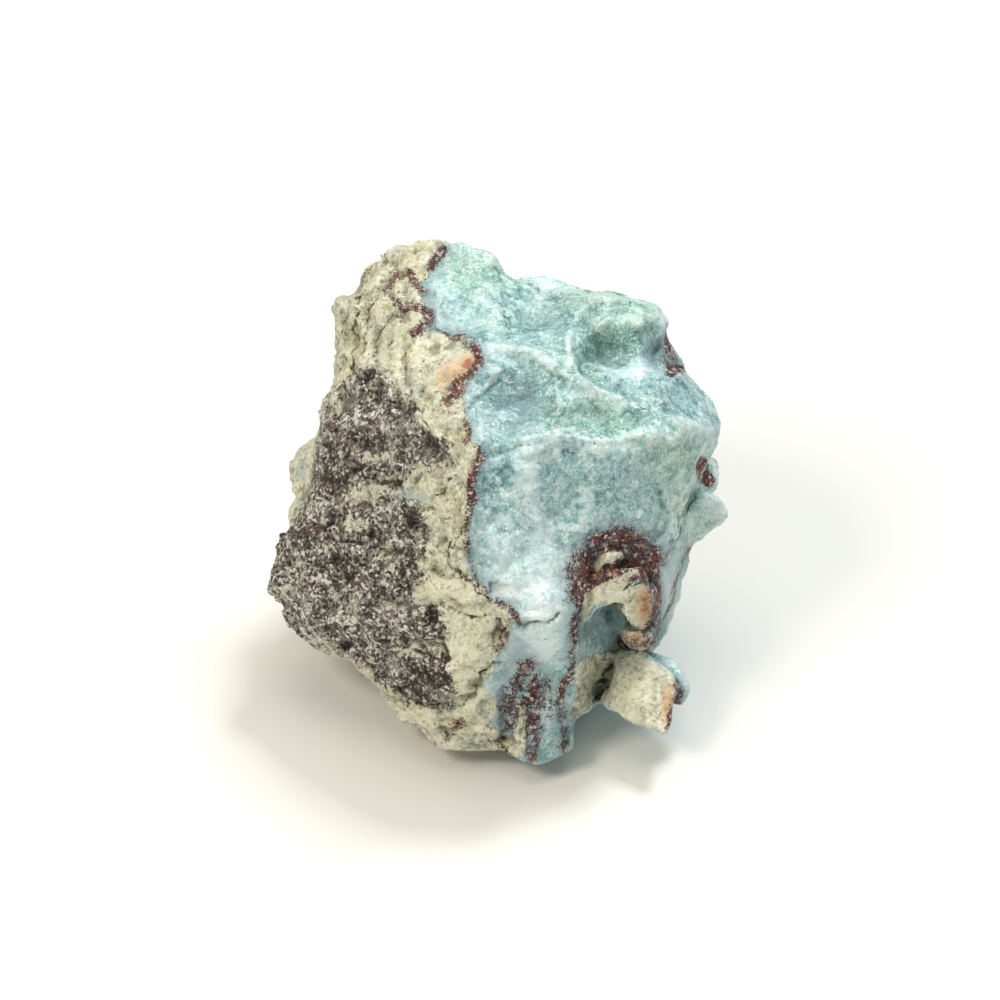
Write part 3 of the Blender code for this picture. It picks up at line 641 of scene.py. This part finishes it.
# Thin pieces are roughened less, and the resting face not at all
THIN_CALM = 0.65
FLAT_FOOT = 0.2
FOOT_FADE = 1.2
rise *= 1 - THIN_CALM * np.clip(zones(THIN_PIECES), 0, 1)
rise *= np.clip((skin[:, 2] - FLAT_FOOT) / FOOT_FADE, 0, 1)
skin = skin + facing_way * rise[:, None]
skin[:, 2] = np.maximum(skin[:, 2], 0)

# The stone rests on the middle of its underside, and its lower front edge stands off the table
STAND_OFF = 5.4
STAND_OFF_HEIGHT = 9.0
STAND_OFF_START = 8
STAND_OFF_DEPTH = 12
stands_off = np.clip((-skin[:, 1] - STAND_OFF_START) / STAND_OFF_DEPTH, 0, 1)
stands_off *= np.clip(1 - skin[:, 2] / STAND_OFF_HEIGHT, 0, 1)
skin += OUT * STAND_OFF * stands_off[:, None]
form.vertices.foreach_set("co", (skin * MM).ravel())
form.update()

# Where each rock and stain lies is kept on the skin for the material, with the hollows and cracks
# for its painted shade
skin, facing_way, skin_edges = read_skin(form)
hollow = hollowness(skin, facing_way, skin_edges, rounds=14)
MARKS = {
    "basalt": basalt_inside, "crust": crust_side, "rust": rust, "halo": halo, "peach": peach,
    "milk": milk, "green": green, "deep": deep, "grey": grey,
    "hollow": hollow, "cleft": cleft,
    "dense": zones(BASALT_DENSE) * front, "basalt_rust": zones(BASALT_RUST) * front,
    "basalt_pale": zones(BASALT_PALE) * front, "crust_pale": zones(CRUST_PALE) * front,
    "crust_blue": zones(CRUST_BLUE) * front,
}
for name, values in MARKS.items():
    field = form.attributes.new(name, "FLOAT", "POINT")
    field.data.foreach_set("value", values.astype(np.float32))

stone = bpy.data.objects.new("rough_larimar", form)
bpy.context.scene.collection.objects.link(stone)
form.polygons.foreach_set("use_smooth", [True] * len(form.polygons))

# Larimar in its basalt, broken and never polished: waxy blue, chalky cream, dull rust and dry dark
# grains run into each other, so one material mixes all four rocks by the marks on the skin
material = bpy.data.materials.new("larimar_in_basalt")
material.use_nodes = True
tree = material.node_tree
shader = tree.nodes["Principled BSDF"]


def linear(colour):
    """The shader's colour of an sRGB hex colour."""
    parts = [int(colour[i:i + 2], 16) / 255 for i in (1, 3, 5)]
    return [p / 12.92 if p <= 0.04045 else ((p + 0.055) / 1.055) ** 2.4 for p in parts] + [1]


def add(kind, plugs=(), out=0, stops=(), **settings):
    """Adds a node, with a link, number or hex colour for each plug, and the colours of a ramp."""
    node = tree.nodes.new("ShaderNode" + kind)
    for name, value in settings.items():
        setattr(node, name, value)
    for plug, value in plugs.items() if isinstance(plugs, dict) else enumerate(plugs):
        if isinstance(value, bpy.types.NodeSocket):
            tree.links.new(value, node.inputs[plug])
        else:
            node.inputs[plug].default_value = linear(value) if isinstance(value, str) else value
    for number, (where, colour) in enumerate(stops):
        ramp = node.color_ramp.elements
        stop = ramp[number] if number < 2 else ramp.new(where)
        stop.position = where
        stop.color = linear(colour)
    return node.outputs[out]


def weighed(*parts):
    """The sum of patterns, each given with its weight; a plain number is added as it is."""
    result = 0.0
    for part in parts:
        pattern, weight = part if isinstance(part, tuple) else (part, 1.0)
        result = add("Math", (pattern, weight, result), operation="MULTIPLY_ADD")
    return result


def stained(base, *stains):
    """A rock's colour with stains over it in turn, each as far as its share says."""
    for share, colour in stains:
        base = add("Mix", {0: share, 6: base, 7: colour}, 2, data_type="RGBA")
    return base


place_mm = add("TexCoord", out="Object")
place_mm = add("VectorMath", {0: place_mm, "Scale": 1 / MM}, operation="SCALE")
# Clouds of every size in millimetres that the rocks need, each with its detail and roughness
SIZES = {
    "dust": (0.22, 2, 0.7), "grit": (0.42, 3, 0.8), "sand": (1.1, 5, 0.7), "pea": (2.2, 5, 0.7),
    "cloud": (4.5, 6, 0.65),
}
clouds = {}
for name, (size, detail, rough) in SIZES.items():
    plugs = {"Vector": place_mm, "Scale": 1 / size, "Detail": detail, "Roughness": rough}
    clouds[name] = add("TexNoise", plugs)
dust, grit, sand, pea, cloud = clouds.values()
# A second set, read far away so that it follows the first nowhere, some of it in swirls
far_mm = add("VectorMath", {0: place_mm, 1: (31, 17, 53)}, operation="ADD")
second = {}
SECOND_SIZES = {"sand": (0.9, 0.4), "wisp": (1.5, 1.8), "pea": (2.6, 0.6), "cloud": (6.0, 0.4)}
for name, (size, swirl) in SECOND_SIZES.items():
    plugs = {"Vector": far_mm, "Scale": 1 / size, "Detail": 5, "Roughness": 0.7}
    second[name] = add("TexNoise", plugs | {"Distortion": swirl})


# The colour of a noise or of a cell lies around this
MIDDLE = (0.5, 0.5, 0.5)


def shifted(reach, size):
    """Places shifted unevenly, so that a pattern read there has no straight edges."""
    plugs = {"Vector": place_mm, "Scale": 1 / size, "Detail": 3, "Roughness": 0.6}
    push = add("TexNoise", plugs, "Color")
    push = add("VectorMath", {0: push, 1: MIDDLE}, operation="SUBTRACT")
    push = add("VectorMath", {0: push, "Scale": reach * 2}, operation="SCALE")
    return add("VectorMath", {0: place_mm, 1: push}, operation="ADD")


def broken(size, reach):
    """Flat chips of a size in millimetres that each lean their own way: their height and tone."""
    where = shifted(reach, size * 0.7)
    cell = add("TexVoronoi", {"Vector": where, "Scale": 1 / size}).node.outputs
    lean = add("VectorMath", {0: cell["Color"], 1: MIDDLE}, operation="SUBTRACT")
    away = add("VectorMath", {0: where, 1: cell["Position"]}, operation="SUBTRACT")
    high = add("VectorMath", {0: away, 1: lean}, "Value", operation="DOT_PRODUCT")
    return high, add("SeparateColor", {0: cell["Color"]})


def thread(pattern, width):
    """Thin winding lines where a pattern passes its middle."""
    off = add("Math", (add("Math", (pattern, 0.5), operation="SUBTRACT"),), operation="ABSOLUTE")
    return add("MapRange", (off, 0.0, width, 1, 0))


slab, slab_tone = broken(2.6, 0.4)
chip, chip_tone = broken(1.1, 0.18)
bit, bit_tone = broken(0.5, 0.07)
marks = {name: add("Attribute", attribute_name=name, out="Fac") for name in MARKS}
in_hollow = marks["hollow"]
# Dark lines along the cracks: painted shade inside each crack, which also lowers the relief there
cleft_line = add("MapRange", (weighed(marks["cleft"], (sand, 5.0), -2.2), 0.8, 1.9, 1, 0))

# Basalt, broken and dry: dark pyroxene grains between pale feldspar ones, so it reads as salt and
# pepper, with dense dark lobes, pale weathered streaks and a little rust
basalt_tone = weighed(
    (bit_tone, 0.45), (dust, 0.9), (grit, 1.3), (sand, 0.9), (pea, 1.0), (chip_tone, 0.2),
    (marks["dense"], -0.32), (marks["basalt_pale"], 0.15), -1.815,
)
basalt_colour = add("ValToRGB", (basalt_tone,), stops=(
    (0.08, "#262321"), (0.98, "#fbfaf4"), (0.3, "#544f49"), (0.48, "#7b766c"), (0.62, "#a49f94"),
    (0.78, "#d6d3c6"),
))
grain_share = weighed((bit_tone, 0.6), (grit, 0.9), (dust, 0.4), (second["pea"], 0.9),
                      (marks["dense"], -0.14), (marks["basalt_pale"], 0.06), -0.9)
rust_left = weighed((marks["basalt_rust"], 0.3), (second["sand"], 1.0))
cream_left = weighed((marks["basalt_pale"], 0.42), (second["sand"], 0.6), (second["pea"], 0.9))
basalt_colour = stained(
    basalt_colour,
    (add("MapRange", (second["pea"], 0.52, 0.6, 0, 0.35)), "#a5a193"),
    (add("MapRange", (second["cloud"], 0.5, 0.44, 0, 0.5)), "#3a3430"),
    (add("MapRange", (cloud, 0.5, 0.6, 0, 0.45)), "#6b4f45"),
    (add("MapRange", (slab_tone, 0.4, 0.3, 0, 0.45)), "#453e39"),
    (add("MapRange", (slab_tone, 0.66, 0.76, 0, 0.35)), "#a8a497"),
    (add("MapRange", (rust_left, 0.64, 0.7, 0, 0.75)), "#643c30"),
    (add("MapRange", (cream_left, 0.85, 0.92, 0, 0.9)), "#cfccb2"),
    (add("Math", (thread(second["wisp"], 0.012), 0.5), operation="MULTIPLY"), "#d8d5c8"),
    (add("MapRange", (grain_share, 0.66, 0.68, 0, 0.95)), "#ebe8dd"),
    (add("MapRange", (grain_share, 0.37, 0.33, 0, 0.75)), "#2c2725"),
    # Painted shade: darker in the skin's hollows
    (add("MapRange", (in_hollow, 0.06, 0.3, 0, 0.7)), "#1f1b19"),
    # Painted shade along the cracks
    (add("Math", (cleft_line, 0.6), operation="MULTIPLY"), "#1d1915"),
)
basalt_high = weighed(
    (bit, 0.9), (chip, 0.6), (slab, 0.5), (grit, 0.2), (sand, 0.35), (pea, 0.4),
)

# Weathered crust: chalky, dull and flaky, cream with grey-green and ochre dirt, with painted shade
# darkening every groove and a painted highlight on its raised edges, and peach to orange where iron
# has stained it
crust_tone = weighed((pea, 0.5), (sand, 0.8), (grit, 1.1), (dust, 1.0), (chip_tone, 0.22),
                     (bit_tone, 0.45), (slab_tone, 0.2), (marks["crust_pale"], 0.2), -1.595)
blue_left = weighed((marks["crust_blue"], 0.4), (second["sand"], 1.0))
pale_left = weighed((marks["crust_pale"], 0.3), (second["pea"], 1.0))
pits = weighed(bit_tone, (grit, 1.0))
peach_share = weighed((marks["peach"], 0.4), (sand, 0.6), (grit, 0.6), (bit_tone, 0.15))
orange_share = weighed(peach_share, (second["sand"], 1.1))
crust_colour = add("ValToRGB", (crust_tone,), stops=(
    (0.08, "#837e66"), (0.9, "#fcfbf0"), (0.3, "#bab9a0"), (0.5, "#d6d5ba"), (0.7, "#eae8d3"),
))
crust_colour = stained(
    crust_colour,
    (add("MapRange", (second["cloud"], 0.49, 0.55, 0, 0.6)), "#adb8a8"),
    (add("MapRange", (cloud, 0.52, 0.58, 0, 0.45)), "#d0c793"),
    (add("MapRange", (blue_left, 0.68, 0.84, 0, 0.85)), "#b5c4c6"),
    (add("MapRange", (second["sand"], 0.43, 0.37, 0, 0.5)), "#827d62"),
    (add("MapRange", (pale_left, 0.55, 0.75, 0, 0.75)), "#f0f0cf"),
    (add("MapRange", (second["wisp"], 0.57, 0.6, 0, 0.6)), "#f6f5e6"),
    (add("Math", (thread(second["wisp"], 0.007), 0.6), operation="MULTIPLY"), "#6a624a"),
    (add("Math", (thread(second["pea"], 0.006), 0.55), operation="MULTIPLY"), "#746b50"),
    (add("MapRange", (pits, 0.59, 0.54, 0, 0.5)), "#665f48"),
    # Painted shade: darker in every groove
    (add("MapRange", (in_hollow, 0.05, 0.35, 0, 0.6)), "#6c654c"),
    # Painted highlight: lighter on the raised edges
    (add("MapRange", (in_hollow, -0.02, -0.2, 0, 0.3)), "#f4f2de"),
    (add("MapRange", (peach_share, 0.9, 1.15, 0, 0.75)), "#e4c39a"),
    (add("MapRange", (orange_share, 1.8, 2.1, 0, 0.8)), "#a5532f"),
    # Painted shade along the cracks
    (cleft_line, "#4d4531"),
)
crust_high = weighed(
    (slab, 0.5), (chip, 0.5), (bit, 0.55), (pea, 0.3), (sand, 0.25), (grit, 0.1),
    (cleft_line, -0.25),
)

# Hematite: tiny dull crystals, rust-red where they crowd and nearly black where they thin out,
# with white specks of pectolite between them
rust_tone = weighed((bit_tone, 0.4), (dust, 1.3), (grit, 1.2), (marks["rust"], 0.25), -1.18)
rust_colour = add("ValToRGB", (rust_tone,), stops=(
    (0.1, "#1c1418"), (0.98, "#eadcd6"), (0.3, "#342229"), (0.48, "#522d2d"), (0.64, "#7c4335"),
    (0.82, "#b27c68"),
))
purple_share = weighed((second["pea"], -1.0), (marks["grey"], 0.25))
white_specks = weighed(bit_tone, (grit, 0.8), (marks["grey"], 0.1))
rust_colour = stained(
    rust_colour,
    (add("MapRange", (purple_share, -0.5, -0.4, 0, 0.7)), "#43333a"),
    (add("MapRange", (white_specks, 1.3, 1.34, 0, 0.7)), "#dcd3d0"),
)
rust_high = weighed((bit, 0.8), (grit, 0.2), 0.1)

# Pectolite: felted fibres with a waxy shine, blue to sea-green in depth, milky where they are
# loose;
# raised edges are white, partly bruised and partly a painted highlight, and hollows get painted
# shade
felt = weighed(dust, grit, -1.0)
# Upright fibres, 0.4 mm wide and 1.7 mm long. The real ones are finer than the picture can show.
FIBRES_PER_MM = (2.4, 2.4, 0.6)
fibre_mm = add("VectorMath", {0: shifted(0.9, 5.0), 1: FIBRES_PER_MM}, operation="MULTIPLY")
fibres = add("TexNoise", {"Vector": fibre_mm, "Scale": 1.0, "Detail": 4, "Roughness": 0.65})
blue_tone = weighed(
    (cloud, 0.6), (pea, 0.25), (sand, 0.25), (felt, 0.65), (slab_tone, 0.2), (chip_tone, 0.3),
    (bit_tone, 0.25), (fibres, 0.5), (marks["deep"], -0.28), (marks["milk"], 0.1), -0.64,
)
sky = add("ValToRGB", (blue_tone,), stops=(
    (0.05, "#4b7982"), (0.95, "#eaf4f5"), (0.3, "#75a3a9"), (0.5, "#98c2c5"), (0.7, "#bddbdc"),
))
sea = add("ValToRGB", (blue_tone,), stops=(
    (0.05, "#507c72"), (0.95, "#e9f4ee"), (0.3, "#7aa699"), (0.5, "#9dc5b8"), (0.7, "#c0dfd2"),
))
green_share = weighed((second["cloud"], 0.9), (marks["green"], 0.65), -0.3)
milk_share = weighed((marks["milk"], 0.75), (pea, 0.9), (sand, 0.6), (second["pea"], 0.5), -0.75)
# Small white flecks, partly pale mottling of the pectolite and partly painted glints of its shiny
# cleavage faces
flecks_and_glints = weighed((second["sand"], 1.0), (grit, 0.5), (marks["milk"], 0.05), -0.25)
# Raised edges are whiter, partly from bruising and partly as a painted highlight
bruise_and_highlight_share = weighed((in_hollow, -0.9), (second["sand"], 0.8))
grey_share = weighed((marks["grey"], 0.5), (cloud, 0.8))
bruise = add("MapRange", (pea, 0.47, 0.57))
bruise = add("Math", (thread(second["pea"], 0.009), bruise), operation="MULTIPLY")
# Brown dots of rust sit in the blue, about 3 mm apart
DOT_GAP = 3.0
dots = add("TexVoronoi", {"Vector": far_mm, "Scale": 1 / DOT_GAP})
blue_colour = stained(
    sky,
    (add("MapRange", (green_share, 0.1, 0.8)), sea),
    (add("MapRange", (grey_share, 0.45, 0.95, 0, 0.75)), "#88a1a6"),
    (add("MapRange", (milk_share, 0.35, 0.7, 0, 0.65)), "#d0e9ee"),
    (add("MapRange", (milk_share, 0.85, 1.0, 0, 0.85)), "#ebf8fb"),
    (add("Math", (bruise, 0.6), operation="MULTIPLY"), "#eef6f1"),
    (add("MapRange", (second["wisp"], 0.58, 0.61, 0, 0.4)), "#e9f4f1"),
    (add("MapRange", (fibres, 0.58, 0.66, 0, 0.3)), "#ecf6f4"),
    (add("MapRange", (fibres, 0.42, 0.34, 0, 0.35)), "#608389"),
    # White flecks and painted glints
    (add("MapRange", (flecks_and_glints, 0.615, 0.64, 0, 0.7)), "#f1f8f6"),
    # Painted shade: darker in the hollows
    (add("MapRange", (in_hollow, 0.04, 0.3, 0, 0.4)), "#5b7d80"),
    # Bruised whitening and painted highlight on the raised edges
    (add("MapRange", (bruise_and_highlight_share, 0.55, 0.61, 0, 0.33)), "#e9f4f0"),
    (add("MapRange", (dots, 0.07, 0.045)), "#6a5a48"),
    # Painted shade along the cracks
    (add("Math", (cleft_line, 0.7), operation="MULTIPLY"), "#47686b"),
)
blue_high = weighed((slab, 0.28), (chip, 0.3), (bit, 0.14), (cloud, 0.2), (pea, 0.06), (sand, 0.1),
                    (grit, 0.02), (fibres, 0.1), (cleft_line, -0.12))

# The four rocks together, each reaching raggedly into the next
ragged = weighed((sand, 2.4), (second["pea"], 3.2), -2.8)
crust_here = add("MapRange", (weighed(marks["crust"], ragged), -0.08, 0.08))
clear = add("Math", (1.0, crust_here), operation="SUBTRACT")
halo_share = add("MapRange", (weighed(marks["halo"], (sand, 1.2)), 0.7, 1.4, 0, 0.5))
specks = weighed((grit, 0.7), (dust, 0.7), (sand, 0.4), (second["pea"], 0.5), -0.7)
rust_near = add("MapRange", (marks["rust"], 0.02, 0.15))
rust_here = add("MapRange", (weighed((marks["rust"], 0.42), specks), 0.74, 0.78))
rust_here = add("Math", (rust_here, rust_near), operation="MULTIPLY")
basalt_here = add("MapRange", (weighed(marks["basalt"], (ragged, 2.7)), -0.12, 0.12))
colour = stained(
    blue_colour,
    (add("Math", (halo_share, clear), operation="MULTIPLY"), "#66787f"),
    (crust_here, crust_colour), (rust_here, rust_colour), (basalt_here, basalt_colour),
)
height = blue_high
rocks_over = ((crust_here, crust_high), (rust_here, rust_high), (basalt_here, basalt_high))
for share, high in rocks_over:
    height = add("Mix", {0: share, 2: height, 3: high}, data_type="FLOAT")
dull = add("Math", (crust_here, rust_here), operation="MAXIMUM")
dull = add("Math", (dull, basalt_here), operation="MAXIMUM")
# Waxy pectolite shines softly, and the three dry rocks are nearly dull
DRY_ROUGHNESS = 0.85
waxy = weighed((dust, 0.3), (marks["milk"], 0.1), 0.2)
roughness = add("Mix", {0: dull, 2: waxy, 3: DRY_ROUGHNESS}, data_type="FLOAT")
tree.links.new(colour, shader.inputs["Base Color"])
tree.links.new(roughness, shader.inputs["Roughness"])
relief = add("Bump", {"Height": height, "Distance": MM, "Strength": 1.0})
tree.links.new(relief, shader.inputs["Normal"])
form.materials.clear()
form.materials.append(material)

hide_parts("larimar_stone")
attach(stone, "root")

# The table: plain white card, matt and a little warm, wide enough that no edge of it shows
CARD_HALF_WIDTH = 1.5
card = bmesh.new()
bmesh.ops.create_grid(card, x_segments=1, y_segments=1, size=CARD_HALF_WIDTH)
card_mesh = bpy.data.meshes.new("table")
card.to_mesh(card_mesh)
card.free()
table = bpy.data.objects.new("table", card_mesh)
bpy.context.scene.collection.objects.link(table)
card_material = bpy.data.materials.new("white_card")
card_material.use_nodes = True
card_shader = card_material.node_tree.nodes["Principled BSDF"]
card_shader.inputs["Base Color"].default_value = linear("#e6e5e1")
card_shader.inputs["Roughness"].default_value = 0.9
card_mesh.materials.append(card_material)
table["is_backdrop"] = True

# The light: soft lamps in a white room, a cool one behind the stone's right, a warm, lower one at
# its left, so that the left shadow is warm and the right one is cool, and a broad one above.
# Each has its place and width in metres, its power in watts and its tint.
LAMPS = {
    "cool_softbox": ((0.4, 0.6, 1.2), 0.3, 11.4, "#f2f9ff"),
    "warm_softbox": ((-0.67, -0.5, 1.0), 0.4, 7.4, "#fff6e4"),
    "high_softbox": ((0.0, 0.15, 1.4), 0.9, 7.0, "#fff9ec"),
}
for name, (position, width, power, tint) in LAMPS.items():
    lamp = bpy.data.lights.new(name, "AREA")
    lamp.size = width
    lamp.energy = power
    lamp.color = linear(tint)[:3]
    holder = bpy.data.objects.new(name, lamp)
    holder.location = position
    holder.rotation_euler = (-Vector(position)).to_track_quat("-Z", "Y").to_euler()
    bpy.context.scene.collection.objects.link(holder)
ROOM_STRENGTH = 0.36
room = bpy.data.worlds.new("white_room")
room.use_nodes = True
walls = room.node_tree.nodes["Background"]
walls.inputs["Color"].default_value = linear("#fafcfa")
walls.inputs["Strength"].default_value = ROOM_STRENGTH
bpy.context.scene.world = room
bpy.context.scene.view_settings.view_transform = "Standard"

low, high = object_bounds()
